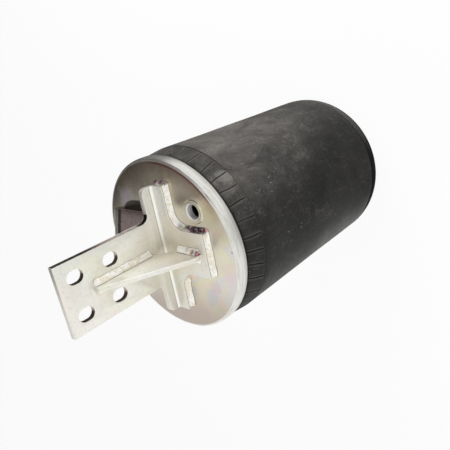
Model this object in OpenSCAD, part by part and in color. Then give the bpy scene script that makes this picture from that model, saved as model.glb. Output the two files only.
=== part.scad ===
// Rolling lobe air spring bellows: a crimped steel bead plate with a welded slotted
// bracket, a rubber sleeve that folds under itself, and a steel piston inside the fold.
// It stands on the piston's base. X runs along the bracket's bend, the bracket's slotted
// face looks to -Y, and Z is the stroke.

/* [Bead plate] */
// outside diameter of the crimped rim
plate_d = 250; // [225:1:300]
// sheet thickness
plate_t = 3; // [2.5:0.1:4]
// height of the plate's flat seat above the piston's base
ride_h = 415; // [400:1:430]
// depth of the crimped rim below the flat seat
crimp_drop = 19.5; // [17:0.5:23]
// radius of the plate's drawn edge
rim_r = 3; // [2.5:0.1:4]
// width of the crimp's inward lip
lip_w = 7; // [6.5:0.1:8]
// radius of the crimp's curl
curl_r = 4.5; // [4:0.5:5]

/* [Bracket] */
// thickness of the bent bracket plate
arm_t = 8; // [6:0.5:10]
// width of the upright arm
arm_w = 94; // [86:1:104]
// height of the arm above the bead plate
arm_h = 167; // [150:1:180]
// inside radius of the bend
bend_r = 4; // [3:0.5:8]
// width of the foot bar along the bend
bar_w = 180; // [170:1:190]
// reach of the foot bar in front of the arm's face
bar_reach = 19; // [17:0.5:24]
// height of the ears beside the arm
ear_h = 25; // [22:0.5:30]
// reach of the tab in front of the arm's middle
tab_reach = 80; // [70:1:88]
// width of the tab
tab_w = 62; // [54:1:70]
// fillet between foot bar and tab
tab_fillet = 25; // [18:1:28]
// fillet between arm and ears
ear_fillet = 10; // [6:1:14]
// corner radius of the ears
ear_corner = 8; // [4:1:10]
// width of a slot, for an M16 screw
slot_w = 17.5; // [13.5:0.5:18]
// end to end length of a slot
slot_l = 22; // [19:0.5:26]
// spacing of the slots across the arm
slot_dx = 50; // [44:1:54]
// spacing of the slots along the arm
slot_dz = 50; // [44:1:54]
// height of the slot pattern's middle above the bead plate
slot_z = 118.5; // [112:0.5:122]

/* [Gussets] */
// thickness of every gusset
gusset_t = 6; // [5:0.5:8]
// height of the front gusset above the bead plate
front_h = 125; // [110:1:130]
// reach of the front gusset in front of the arm's middle
front_reach = 73; // [60:1:74]
// width of the front gusset's top end
front_top = 10; // [6:1:14]
// height of the front gusset's outer end above the foot
front_end = 12; // [6:1:16]
// legs of the corner cut that clears the bend
snipe = 26; // [20:1:30]
// height of the rear gussets above the bead plate
rear_h = 70; // [60:1:76]
// reach of the rear gussets behind the arm's middle
rear_reach = 103; // [80:1:104]
// height of a rear gusset's outer end
rear_end = 3; // [2:0.5:6]

/* [Weld beads] */
// leg of the bead round the foot
foot_leg = 6.5; // [4:0.5:7]
// leg of the beads along the front gusset
gusset_leg = 8; // [4:0.5:9]
// leg of the beads along the rear gussets
rear_leg = 5; // [3:0.5:6]

/* [Air port] */
// distance of the port's middle from the plate's edge
port_in = 38.5; // [36:0.5:42]
// clearance between the port's ring and the tab's weld bead
port_clear = 3; // [2:0.5:8]
// radius of the tapped bore, M22 x 1.5
port_r = 10.2; // [8:0.1:10.3]
// outside radius of the bush below the plate
bush_r = 16; // [15:0.5:17]
// depth of the bush below the plate
bush_h = 8; // [7:1:12]

/* [Sleeve] */
// outside diameter of the cylindrical wall
sleeve_d = 255; // [253:1:262]
// thickness of the rubber and cord wall
wall_t = 4.5; // [3.5:0.5:5.5]
// length of the pleated band below the seat
pleat_drop = 51.5; // [48:0.5:60]
// number of pleats round the neck
pleats = 37; // [24:1:48]
// width of one pleat crease
crease_w = 1.3; // [0.8:0.1:1.6]
// height at which the wall starts to fold
fold_z = 62; // [60:1:66]
// depth of the rolled fold below that height
fold_h = 33; // [28:1:36]
// section radius of the upper bead ring
upper_wire_r = 4.2; // [3:0.1:4.5]
// section radius of the lower bead ring
lower_wire_r = 3.8; // [3:0.1:4]

/* [Piston] */
// outside diameter of the straight piston wall
piston_d = 183; // [176:1:190]
// sheet thickness of the piston shell
shell_t = 3; // [2.5:0.5:4]
// height of the piston's flat shoulder
shoulder_z = 236; // [226:1:246]
// radius of the rounded shoulder
shoulder_r = 16; // [12:1:20]
// radius of the bead seat's neck
neck_r = 62; // [60:1:64]
// height of the bead seat's neck above the shoulder
neck_h = 18; // [17:0.5:20]
// thickness of the base plate
base_t = 6; // [5:0.5:8]
// pitch circle of the base's tapped holes
base_pcd = 130; // [110:1:140]
// radius of the tapped bores in the base, M12
nut_bore_r = 5.1; // [4:0.1:5.2]
// radius of the middle post
post_r = 14; // [12:0.5:16]
// radius of the tapped bores in the post, M16
post_bore_r = 6.9; // [5:0.1:7]
// depth of the tapped bores in the post
post_bore_h = 40; // [30:1:50]
// height of the tapped nuts above the base plate
nut_h = 10; // [8:0.5:14]
// wall of the tapped nuts beside their bore, across the corners
nut_wall = 6; // [5:0.5:7]

/* [Bead clamp and buffer] */
// radius of the clamp bolt's head across its corners
head_r = 13.8; // [13:0.1:14.5]
// height of the clamp bolt's head
head_h = 10; // [9:0.5:12]
// thickness of the washer under it
washer_t = 3; // [2:0.5:4]
// radius of the bead clamp disc
clamp_r = 75; // [72:0.5:76]
// thickness of the bead clamp disc
clamp_t = 6; // [5:0.5:8]
// radius of the buffer's foot
buffer_r = 46; // [42:1:50]
// overall height of the rubber buffer
buffer_h = 96; // [80:1:96]
// radius of the bore down the buffer
buffer_bore_r = 20; // [18:0.5:22]
// thickness of the steel insert in the buffer's foot
insert_t = 4; // [3:0.5:5]

/* [Hidden] */
$fn = 96;
gap = 0.3;
eps = 0.02;
plate_r = plate_d / 2;
edge_r = plate_r - rim_r - 0.8;
lip_r = plate_r - lip_w;
arm_y = arm_t / 2;
bend_out = bend_r + arm_t;
bend_y = arm_y + bend_r;
bar_y = arm_y + bar_reach;
tab_x = tab_w / 2;
bar_x = bar_w / 2;
port_ring = bush_r + 0.5;
port_x = tab_x + foot_leg + port_clear + port_ring;
port_y = sqrt(pow(plate_r - port_in, 2) - pow(port_x, 2));
arm_x = arm_w / 2;
sleeve_r = sleeve_d / 2;
piston_r = piston_d / 2;
lobe_in = piston_r + gap;
lobe_mid = (sleeve_r + lobe_in) / 2;
lobe_w = (sleeve_r - lobe_in) / 2;
neck_top = shoulder_z + neck_h;
clamp_top = neck_top + clamp_t;
insert_top = clamp_top + insert_t;
shoulder_c = piston_r - shoulder_r;
arc_z = shoulder_z - shoulder_r;
upper_wire_x = lip_r - 3.6;
upper_wire_z = ride_h - 9;
lower_wire_x = neck_r + 8.2;
lower_wire_z = shoulder_z + 9;
crimp_z = ride_h - crimp_drop;

// which sub-part is drawn: one of the names above, or all of them

// points along an elliptical arc
function arc(cx, cz, rx, rz, from, to, n) =
    [for (i = [0 : n]) let (t = from + (to - from) * i / n) [cx + rx * cos(t), cz + rz * sin(t)]];

// the plate's drawn edge, from its flat to the upright wall, or a line set in from it
function drawn_edge(inset) =
    let (r = max(rim_r - inset, 0.1))
        concat(
            arc(edge_r, -inset - r, r, r, 90, 26, 4),
            [[plate_r - 0.55 - 0.94 * inset, -rim_r - 0.2 - 0.34 * inset]],
            [[plate_r - 0.15 - 0.98 * inset, -rim_r - 2.5 - 0.17 * inset]],
            [[plate_r - inset, -rim_r - 5]]);

// the same points the other way round
function turned(points) = [for (i = [len(points) - 1 : -1 : 0]) points[i]];

// section of a convex fillet bead with equal or unequal legs
function bead(u, v) = [[0, 0], [u, 0], [u * 0.72, v * 0.42], [u * 0.42, v * 0.72], [0, v]];

// a bead section swept straight from the origin along +X, its legs along +Y and +Z
module straight_bead(length, u, v) {
    rotate([90, 0, 90])
        linear_extrude(length)
            polygon(bead(u, v));
}

// a bead section turned about a corner, its foot on the XY plane
module corner_bead(u, v, turn) {
    rotate_extrude(angle = turn)
        polygon(bead(u, v));
}

// a bead section turned inside the fillet between foot bar and tab
module fillet_bead(leg, turn) {
    rotate_extrude(angle = turn)
        polygon([for (p = bead(leg, leg)) [tab_fillet - 0.05 - p[0], p[1]]]);
}

// a gusset outline given as distance from the arm's middle and height, centred on X
module gusset_plate(points) {
    translate([-gusset_t / 2, 0, 0])
        rotate([90, 0, 90])
            linear_extrude(gusset_t)
                polygon(points);
}

// the stamped plate, its edge drawn down and curled in round the sleeve's bead
module bead_plate() {
    curl_z = curl_r - crimp_drop;
    color("lightgray")
        difference() {
            union() {
                rotate_extrude()
                    translate([0, ride_h])
                        polygon(concat(
                            [[0, 0]],
                            drawn_edge(0),
                            arc(plate_r - curl_r, curl_z, curl_r, curl_r, 0, -90, 6),
                            [[lip_r, -crimp_drop]],
                            [[lip_r, plate_t - crimp_drop]],
                            arc(plate_r - curl_r, curl_z, curl_r - plate_t, curl_r - plate_t, -90, 0, 3),
                            turned(drawn_edge(plate_t)),
                            [[0, -plate_t]]));
                translate([port_x, -port_y, ride_h - eps])
                    cylinder(h = 0.8 + eps, r1 = port_ring, r2 = port_ring - 1);
            }
            translate([port_x, -port_y, ride_h - plate_t - 1])
                cylinder(h = plate_t + 3, r = port_r + 2.8 + gap);
        }
}

// front outline of arm and ears, in X and height above the seat
module front_outline() {
    difference() {
        union() {
            translate([-arm_x, 0])
                square([arm_w, arm_h]);
            translate([-bar_x, 0])
                square([bar_w, ear_h - ear_corner]);
            translate([ear_corner - bar_x, 0])
                square([bar_w - 2 * ear_corner, ear_h]);
            for (s = [-1, 1])
                translate([s * (bar_x - ear_corner), ear_h - ear_corner])
                    circle(r = ear_corner);
            translate([-arm_x - ear_fillet, 0])
                square([arm_w + 2 * ear_fillet, ear_h + ear_fillet]);
        }
        for (s = [-1, 1])
            translate([s * (arm_x + ear_fillet), ear_h + ear_fillet])
                circle(r = ear_fillet);
        for (x = [-1, 1], z = [-1, 1])
            translate([x * slot_dx / 2, slot_z + z * slot_dz / 2]) {
                square([slot_w, slot_l - slot_w], center = true);
                for (e = [-1, 1])
                    translate([0, e * (slot_l - slot_w) / 2])
                        circle(r = slot_w / 2);
            }
    }
}

// top outline of the foot, in X and Y
module top_outline() {
    difference() {
        union() {
            translate([-bar_x, -bar_y])
                square([bar_w, bar_y + arm_y + 1]);
            translate([-tab_x, -tab_reach])
                square([tab_w, tab_reach]);
            translate([-tab_x - tab_fillet, -bar_y - tab_fillet])
                square([tab_w + 2 * tab_fillet, tab_fillet + 1]);
        }
        for (s = [-1, 1])
            translate([s * (tab_x + tab_fillet), -bar_y - tab_fillet])
                circle(r = tab_fillet);
    }
}

// side section of the bent plate, in Y and height above the seat
module bend_section() {
    translate([-arm_y, bend_out])
        square([arm_t, arm_h - bend_out]);
    translate([-tab_reach, 0])
        square([tab_reach - bend_y, arm_t]);
    intersection() {
        translate([-bend_y, bend_out])
            difference() {
                circle(r = bend_out);
                circle(r = bend_r);
            }
        translate([-bend_y, 0])
            square([bend_out, bend_out]);
    }
}

// one cross-shaped blank bent up into arm, ears, foot bar and tab
module bracket() {
    color("gainsboro")
        translate([0, 0, ride_h])
            intersection() {
                translate([-bar_x, 0, 0])
                    rotate([90, 0, 90])
                        linear_extrude(bar_w)
                            bend_section();
                translate([0, arm_y + 1, 0])
                    rotate([90, 0, 0])
                        linear_extrude(tab_reach + arm_y + 2)
                            front_outline();
                translate([0, 0, -1])
                    linear_extrude(arm_h + 2)
                        top_outline();
            }
}

// the rib between arm and tab, its inner corner cut to clear the bend
module front_gusset() {
    color("silver")
        translate([0, 0, ride_h])
            gusset_plate([
                [-arm_y, arm_t + snipe],
                [-arm_y, front_h],
                [-arm_y - front_top, front_h],
                [-front_reach, arm_t + front_end],
                [-front_reach, arm_t],
                [-arm_y - snipe, arm_t]]);
}

// a rib behind the arm, flush with the arm's edge
module rear_gusset() {
    translate([0, 0, ride_h])
        gusset_plate([
            [arm_y, bend_out + 3],
            [arm_y, rear_h],
            [rear_reach, rear_end],
            [rear_reach, 0],
            [arm_y + 14, 0]]);
}

module rear_gusset_left() {
    color("silver")
        translate([gusset_t / 2 - arm_x, 0, 0])
            rear_gusset();
}

module rear_gusset_right() {
    color("silver")
        translate([arm_x - gusset_t / 2, 0, 0])
            rear_gusset();
}

// beads round the foot: one long run on the port's side, one short run on the other,
// and three behind the bend
module foot_welds() {
    leg = foot_leg;
    fillet_x = tab_x + tab_fillet;
    fillet_y = bar_y + tab_fillet;
    color("whitesmoke")
        translate([0, 0, ride_h]) {
            // the bar's end, its corner and the run to the fillet
            translate([bar_x, -bend_y + 4, 0])
                rotate([0, 0, -90])
                    straight_bead(bar_y - bend_y + 4, leg, leg);
            translate([bar_x, -bar_y, 0])
                rotate([0, 0, -90])
                    corner_bead(leg, leg, 90);
            translate([bar_x, -bar_y, 0])
                rotate([0, 0, 180])
                    straight_bead(bar_x - fillet_x, leg, leg);
            // the inside of the fillet
            translate([fillet_x, -fillet_y, 0])
                rotate([0, 0, 90])
                    fillet_bead(leg, 90);
            // the tab's side, its corner and its end
            translate([tab_x, -fillet_y, 0])
                rotate([0, 0, -90])
                    straight_bead(tab_reach - fillet_y, leg, leg);
            translate([tab_x, -tab_reach, 0])
                rotate([0, 0, -90])
                    corner_bead(leg, leg, 90);
            translate([tab_x, -tab_reach, 0])
                rotate([0, 0, 180])
                    straight_bead(tab_w, leg, leg);
            // the short bead along the bar beyond the tab, from inside the other fillet
            translate([-fillet_x, -fillet_y, 0])
                rotate([0, 0, 50])
                    fillet_bead(leg, 41);
            translate([-fillet_x, -bar_y, 0])
                rotate([0, 0, 180])
                    straight_bead(bar_x - fillet_x - 2, leg, leg);
            // the beads behind the bend
            for (run = [[4 - bar_x, 2 - arm_x - 8], [arm_x * -0.7, arm_x * 0.7], [arm_x + 6, bar_x - 4]])
                translate([run[0], 0, 0])
                    difference() {
                        translate([0, -arm_y - 2, 0])
                            straight_bead(run[1] - run[0], arm_t + leg - 1, leg + 1);
                        translate([-1, -bend_y, bend_out])
                            rotate([0, 90, 0])
                                cylinder(h = run[1] - run[0] + 2, r = bend_out + 0.05);
                    }
        }
}

// two long beads up the arm and two along the tab, beside the front gusset
module front_gusset_welds() {
    leg = gusset_leg;
    short = leg * 0.7;
    deep = leg * 0.85;
    side = gusset_t / 2;
    run_z = front_h - arm_t - snipe + 2;
    run_y = front_reach - arm_y - snipe - 3;
    color("whitesmoke")
        translate([0, 0, ride_h])
            for (s = [-1, 1]) {
                translate([0, 0, arm_t + snipe])
                    linear_extrude(run_z)
                        polygon([for (p = bead(leg, short)) [s * (side + p[0]), -arm_y - p[1]]]);
                translate([0, -arm_y - snipe, 0])
                    rotate([90, 0, 0])
                        linear_extrude(run_y)
                            polygon([for (p = bead(leg, deep)) [s * (side + p[0]), arm_t + p[1]]]);
            }
}

// beads inside the rear gussets, and a short one on the back of each ear
module rear_gusset_welds() {
    leg = rear_leg;
    inner = arm_x - gusset_t;
    low_z = bend_out + 4;
    color("whitesmoke")
        translate([0, 0, ride_h])
            for (s = [-1, 1]) {
                translate([0, 0, low_z])
                    linear_extrude(rear_h - low_z - 2)
                        polygon([for (p = bead(leg, leg)) [s * (inner - p[0]), arm_y + p[1]]]);
                translate([0, 0, low_z])
                    linear_extrude(ear_h - low_z + 3)
                        polygon([for (p = bead(leg, leg)) [s * (arm_x + p[0]), arm_y + p[1]]]);
                translate([0, rear_reach - 4, 0])
                    rotate([90, 0, 0])
                        linear_extrude(rear_reach - arm_y - 20)
                            polygon([for (p = bead(leg, leg)) [s * (inner - p[0]), p[1]]]);
            }
}

// the tapped bush that hangs through the plate
module port_bush() {
    spigot_r = port_r + 2.8;
    top_z = ride_h + 1.2;
    low_z = ride_h - plate_t - bush_h;
    color("gainsboro")
        translate([port_x, -port_y, 0])
            difference() {
                union() {
                    translate([0, 0, low_z])
                        cylinder(h = bush_h, r = bush_r);
                    translate([0, 0, ride_h - plate_t - 1])
                        cylinder(h = top_z - ride_h + plate_t + 1, r = spigot_r);
                }
                translate([0, 0, low_z - 1])
                    cylinder(h = top_z - low_z + 2, r = port_r);
                translate([0, 0, top_z - 1])
                    cylinder(h = 1.02, r1 = port_r, r2 = port_r + 1);
            }
}

// the bead between bush and plate, on the air side
module port_weld() {
    leg = 4;
    color("whitesmoke")
        translate([port_x, -port_y, ride_h - plate_t])
            rotate_extrude()
                polygon([for (p = bead(leg, leg)) [bush_r + 0.05 + p[0], -p[1]]]);
}

// steel wire ring buried in the sleeve's upper bead
module upper_bead_ring() {
    color("silver")
        translate([0, 0, upper_wire_z])
            rotate_extrude()
                translate([upper_wire_x, 0])
                    circle(r = upper_wire_r);
}

// steel wire ring buried in the sleeve's lower bead
module lower_bead_ring() {
    color("silver")
        translate([0, 0, lower_wire_z])
            rotate_extrude()
                translate([lower_wire_x, 0])
                    circle(r = lower_wire_r);
}

// half section of the sleeve: bead, pleated neck, wall, rolled fold, inner wall, lower bead
module sleeve_section() {
    top = ride_h;
    neck_x = lip_r - 0.6;
    lip_z = crimp_z - gap;
    bulge_r = plate_r - 0.5 - neck_x;
    bulge_z = lip_z - bulge_r;
    pleat_z = top - pleat_drop;
    bead_in = lip_r - 10;
    bead_x = plate_r - plate_t - gap;
    bead_top = top - plate_t - gap;
    seat_z = crimp_z + plate_t + gap;
    low_in = neck_r + gap + 0.5;
    low_out = neck_r + 15;
    low_top = neck_top - gap;
    polygon(concat(
        // upper bead inside the crimp
        [[bead_in, bead_top - 4], [bead_in + 4, bead_top]],
        [for (p = drawn_edge(plate_t + gap)) [p[0], top + p[1]]],
        [[bead_x, seat_z + 1.2], [bead_x - 1.2, seat_z], [neck_x, seat_z]],
        // pleated neck and cylindrical wall
        arc(neck_x, bulge_z, bulge_r, bulge_r, 90, 0, 5),
        [[sleeve_r - 0.6, pleat_z + 7], [sleeve_r, pleat_z]],
        // the rolled fold, seen from outside
        arc(lobe_mid, fold_z, lobe_w, fold_h, 0, -180, 20),
        // inner wall on the piston, over its shoulder to the bead seat
        arc(shoulder_c, arc_z, shoulder_r + gap, shoulder_r + gap, 0, 90, 6),
        [[low_in, shoulder_z + gap], [low_in, low_top], [low_out - 2, low_top], [low_out, low_top - 2]],
        [[low_out, shoulder_z + gap + wall_t + 0.5]],
        arc(shoulder_c, arc_z, shoulder_r + gap + wall_t, shoulder_r + gap + wall_t, 76, 0, 6),
        arc(lobe_mid, fold_z, lobe_w - wall_t, fold_h - wall_t, -180, 0, 20),
        [[sleeve_r - wall_t, pleat_z], [plate_r - 0.5 - wall_t, bulge_z]],
        arc(neck_x - 3, bulge_z + 1, bulge_r - wall_t + 3, bulge_r - wall_t, 0, 90, 3),
        [[bead_in, crimp_z + 4]]));
}

// the moulded rubber sleeve with its pleat creases
module sleeve() {
    crease_l = pleat_drop - crimp_drop - 8;
    color("dimgray")
        difference() {
            rotate_extrude()
                sleeve_section();
            translate([0, 0, upper_wire_z])
                rotate_extrude()
                    translate([upper_wire_x, 0])
                        circle(r = upper_wire_r + gap);
            translate([0, 0, lower_wire_z])
                rotate_extrude()
                    translate([lower_wire_x, 0])
                        circle(r = lower_wire_r + gap);
            for (i = [0 : pleats - 1])
                rotate([0, 0, (i + 0.5) * 360 / pleats])
                    translate([(sleeve_r + plate_r) / 2, 0, crimp_z - 8 - crease_l / 2])
                        rotate([0, -atan((sleeve_r - plate_r) / crease_l), 0])
                            rotate([0, 0, 45])
                                cube([crease_w, crease_w, crease_l], center = true);
        }
}

// deep drawn shell: straight wall, rounded shoulder and the neck that seats the lower bead
module piston_shell() {
    inner_r = shoulder_r - shell_t;
    hole_r = 8.5;
    color("darkgray")
        rotate_extrude()
            polygon(concat(
                [[piston_r, 0]],
                arc(shoulder_c, arc_z, shoulder_r, shoulder_r, 0, 90, 8),
                [[neck_r + 0.5, shoulder_z], [neck_r, neck_top], [hole_r, neck_top], [hole_r, neck_top - shell_t]],
                [[neck_r - shell_t, neck_top - shell_t], [neck_r + 0.5 - shell_t, shoulder_z - shell_t]],
                arc(shoulder_c, arc_z, inner_r, inner_r, 90, 0, 8),
                [[piston_r - shell_t, 0]]));
}

// base plate let into the shell, flush with its edge
module piston_base() {
    color("darkgray")
        difference() {
            cylinder(h = base_t, r = piston_r - shell_t - gap);
            translate([0, 0, -1])
                cylinder(h = base_t + 2, r = post_r + gap);
            for (i = [0 : 3])
                rotate([0, 0, 45 + 90 * i])
                    translate([base_pcd / 2, 0, -1])
                        cylinder(h = base_t + 2, r = nut_bore_r + nut_wall / 2 - 0.1 + gap);
        }
}

// ring beads inside the piston: base to shell, and base to post
module base_welds() {
    leg = 4;
    wall = piston_r - shell_t - 0.05;
    post = post_r + 0.05;
    color("whitesmoke")
        translate([0, 0, base_t])
            for (ring = [[wall, -1], [post, 1]])
                rotate_extrude()
                    polygon([for (p = bead(leg, leg)) [ring[0] + ring[1] * p[0], p[1]]]);
}

// four tapped pilot nuts welded on the base plate's inner side
module base_nuts() {
    color("silver")
        for (i = [0 : 3])
            rotate([0, 0, 45 + 90 * i])
                translate([base_pcd / 2, 0, 0])
                    difference() {
                        union() {
                            translate([0, 0, 0.4])
                                cylinder(h = base_t, r = nut_bore_r + nut_wall / 2 - 0.1);
                            translate([0, 0, base_t])
                                cylinder(h = nut_h, r = nut_bore_r + nut_wall, $fn = 6);
                        }
                        translate([0, 0, -1])
                            cylinder(h = base_t + nut_h + 2, r = nut_bore_r);
                    }
}

// solid post between base and top, tapped at both ends
module centre_post() {
    height = neck_top - shell_t;
    color("silver")
        difference() {
            cylinder(h = height, r = post_r);
            translate([0, 0, -1])
                cylinder(h = post_bore_h + 1, r = post_bore_r);
            translate([0, 0, height - post_bore_h])
                cylinder(h = post_bore_h + 1, r = post_bore_r);
        }
}

// disc that holds the lower bead down on its seat
module clamp_disc() {
    color("silver")
        translate([0, 0, neck_top])
            difference() {
                union() {
                    cylinder(h = clamp_t - 1.5, r = clamp_r);
                    translate([0, 0, clamp_t - 1.5])
                        cylinder(h = 1.5, r1 = clamp_r, r2 = clamp_r - 1.5);
                }
                translate([0, 0, -1])
                    cylinder(h = clamp_t + 2, r = 8.5);
            }
}

// steel disc in the foot of the buffer
module buffer_insert() {
    color("silver")
        translate([0, 0, clamp_top])
            difference() {
                cylinder(h = insert_t, r = buffer_r - 4);
                translate([0, 0, -1])
                    cylinder(h = insert_t + 2, r = 8.5);
            }
}

// hollow rubber buffer, waisted so that it squashes before it bottoms
module buffer() {
    foot = buffer_r;
    slim = buffer_r * 0.8;
    top = buffer_r * 0.61;
    notch = buffer_h * 0.094;
    lobe = buffer_h * 0.125;
    slim_z = 2 * notch + lobe * 1.33;
    neck_z = slim_z + lobe + notch * 0.6;
    high_z = neck_z + notch * 0.6 + lobe * 0.9;
    color("black")
        translate([0, 0, clamp_top])
            rotate_extrude()
                polygon(concat(
                    [[foot - 4 + gap, gap], [foot, gap], [foot, notch]],
                    arc(foot, 2 * notch, notch, notch, -90, -180, 6),
                    arc(slim, slim_z, 4, lobe, -90, 90, 8),
                    arc(slim, neck_z, 5, notch * 0.6, -90, -180, 4),
                    arc(slim - 5, high_z, 3, lobe * 0.9, -90, 90, 8),
                    [[top + 1, buffer_h - 3], [top - 2, buffer_h], [buffer_bore_r, buffer_h]],
                    [[buffer_bore_r, insert_t], [foot - 4 + gap, insert_t]]));
}

// washer under the clamp bolt's head
module clamp_washer() {
    color("silver")
        translate([0, 0, insert_top])
            difference() {
                cylinder(h = washer_t, r = head_r + 1.2);
                translate([0, 0, -1])
                    cylinder(h = washer_t + 2, r = 8.5);
            }
}

// M16 hexagon bolt down into the post
module clamp_bolt() {
    head_z = insert_top + washer_t;
    post_top = neck_top - shell_t;
    round_h = head_h * 0.85;
    thread_h = post_bore_h * 0.75;
    color("silver") {
        translate([0, 0, head_z])
            intersection() {
                cylinder(h = head_h, r = head_r, $fn = 6);
                union() {
                    cylinder(h = round_h, r = head_r + 0.2);
                    translate([0, 0, round_h])
                        cylinder(h = head_h - round_h, r1 = head_r + 0.2, r2 = head_r - 1.8);
                }
            }
        translate([0, 0, post_top])
            cylinder(h = head_z - post_top + 1, r = 8);
        translate([0, 0, post_top - thread_h])
            cylinder(h = thread_h + 1, r = post_bore_r - 0.1);
    }
}

bead_plate();
bracket();
front_gusset();
rear_gusset_left();
rear_gusset_right();
foot_welds();
front_gusset_welds();
rear_gusset_welds();
port_bush();
port_weld();
upper_bead_ring();
sleeve();
lower_bead_ring();
piston_shell();
piston_base();
base_welds();
base_nuts();
centre_post();
clamp_disc();
clamp_bolt();
clamp_washer();
buffer_insert();
buffer();
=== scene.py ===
"""Rolling lobe air spring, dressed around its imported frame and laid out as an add-on.

Every piece is made in metres, in the frame's own axes, and stays where the frame has it.
"""

import math
import random

import bpy
import numpy as np
from bpy.props import FloatProperty, FloatVectorProperty, IntProperty, PointerProperty
from mathutils import Matrix, Vector, noise


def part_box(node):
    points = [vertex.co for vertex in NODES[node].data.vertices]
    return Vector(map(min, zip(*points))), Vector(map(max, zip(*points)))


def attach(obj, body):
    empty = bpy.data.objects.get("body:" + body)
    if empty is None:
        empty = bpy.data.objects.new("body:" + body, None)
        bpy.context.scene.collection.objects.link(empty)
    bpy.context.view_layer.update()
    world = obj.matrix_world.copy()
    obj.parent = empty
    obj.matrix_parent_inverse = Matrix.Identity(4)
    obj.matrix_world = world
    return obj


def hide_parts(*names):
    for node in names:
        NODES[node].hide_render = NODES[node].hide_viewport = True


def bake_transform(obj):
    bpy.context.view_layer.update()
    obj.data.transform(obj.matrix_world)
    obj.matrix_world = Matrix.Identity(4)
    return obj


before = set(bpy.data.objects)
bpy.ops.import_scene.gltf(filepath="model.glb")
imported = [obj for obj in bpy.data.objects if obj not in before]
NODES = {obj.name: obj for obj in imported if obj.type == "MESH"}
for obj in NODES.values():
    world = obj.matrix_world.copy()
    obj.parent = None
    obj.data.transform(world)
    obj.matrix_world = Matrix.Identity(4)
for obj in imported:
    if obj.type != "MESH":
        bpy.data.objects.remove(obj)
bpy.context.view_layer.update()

bl_info = {
    "name": "Air spring bellows",
    "version": (1, 0, 0),
    "blender": (4, 5, 0),
    "location": "3D View > Sidebar > Bellows",
    "description": "Dresses a rolling lobe air spring: plate, bracket, welds, sleeve and piston",
    "category": "Object",
}

MM = 0.001

# Places read from the frame
LOW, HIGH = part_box("bracket")
SEAT_Z, ARM_TOP, ARM_BACK = LOW.z, HIGH.z, HIGH.y
LOW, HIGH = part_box("port_bush")
PORT_X, PORT_Y = (LOW.x + HIGH.x) / 2, (LOW.y + HIGH.y) / 2
PORT_LOW, PORT_TOP = LOW.z, HIGH.z
_, GUSSET_END, GUSSET_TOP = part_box("rear_gusset_right")[1]
CRIMP_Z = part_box("bead_plate")[0].z
PISTON_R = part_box("piston_shell")[1].x
SLEEVE_R = min(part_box("sleeve")[1].xy) - 0.00002

# Plate and bracket
RIM_START = 0.1205
THREADS_PER_METRE = 640
BEND_Z = SEAT_Z + 0.0104
BEND_Y = -0.006
RIB_LIFT = 0.0035

# Weld beads, in millimetres
WELD_PITCH = 2.3
WELD_ROOT = 0.4
WELD_ARC = 10

# Sleeve: its fold, the place where the two walls meet, and its pleats
FOLD_LINE = 0.0628
FOLD_MIDDLE = 0.062
FOLD_DROP = 0.033
FOLD_RIBS = 240
PISTON_GAP = 0.0003
SPLIT_OUTSIDE = -180 + 31.0
SPLIT_INSIDE = -180 + 36.6
PLEAT_LOW = 0.3635
PARTS = 13
BY_THE_CREASE = (0.0, 0.0004, 0.0009, 0.0018)
ALONG_THE_PLEAT = (0.19, 0.31, 0.44)
CREASE_START = 132.0
CREASES_AT_RIM = (
    -127.4, -118.4, -107.5, -97.9, -89.6, -81.7, -71.0,
    -61.0, -51.5, -43.6, -34.3, -22.6, -14.7, -5.5,
)
CREASES_AT_LIP = (
    -135.3, -124.4, -111.8, -102.0, -92.7, -82.7, -71.9,
    -60.6, -52.0, -41.9, -31.6, -20.9, -9.8, 2.6,
)

# Colours and relief shared by several finishes
JET = (0.003, 0.003, 0.003)
BLACK = (0.004, 0.004, 0.004)
NEAR_BLACK = (0.006, 0.006, 0.006)
ROOM_WHITE = (1.0, 1.0, 0.98)
ROOM_PALE = (0.95, 0.95, 0.93)
FINE_RELIEF = 0.0001

# Olive, pink and blue tints of zinc: pattern, its origin, limits, hue and weight
ZINC_TINTS = (
    ((11.0, 3.0, 0.5, 0.8), (2, 8, 4), (0.48, 0.66), (0.98, 0.97, 0.78), 1.0),
    ((13.0, 2.0, 0.5, 1.2), (3, 1, 2), (0.52, 0.70), (1.00, 0.84, 0.88), 0.8),
    ((17.0, 2.0, 0.5, 1.5), (7, 5, 1), (0.58, 0.74), (0.84, 0.92, 1.06), 0.7),
)
# Passing film on the plate: its level in the pattern and its colour
FILM_LINES = (
    (0.40, (0.82, 0.64, 0.62)),
    (0.49, (0.66, 0.68, 0.78)),
    (0.56, (0.74, 0.76, 0.54)),
)
# Stains on the plate: X, Y, size, colour and share; the last is the small blue dot
PLATE_STAINS = (
    (-0.064, -0.03, 0.016, (0.5, 0.58, 0.66), 0.65),
    (-0.066, -0.066, 0.018, (0.55, 0.6, 0.72), 0.6),
    (-0.046, -0.08, 0.014, (0.72, 0.56, 0.62), 0.55),
    (-0.092, -0.036, 0.022, (0.72, 0.58, 0.56), 0.6),
    (-0.098, -0.004, 0.02, (0.6, 0.56, 0.6), 0.55),
    (-0.02, -0.112, 0.024, (0.78, 0.6, 0.62), 0.45),
    (-0.08, -0.08, 0.014, (0.64, 0.68, 0.44), 0.55),
    (0.058, -0.09, 0.022, (0.66, 0.62, 0.4), 0.45),
    (0.07, -0.048, 0.02, (0.6, 0.54, 0.4), 0.4),
    (0.03, -0.1, 0.02, (0.76, 0.64, 0.58), 0.45),
    (0.086, 0.03, 0.03, (0.52, 0.44, 0.36), 0.4),
    (0.0095, -0.1189, 0.0022, (0.1, 0.13, 0.3), 0.9),
)
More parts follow.
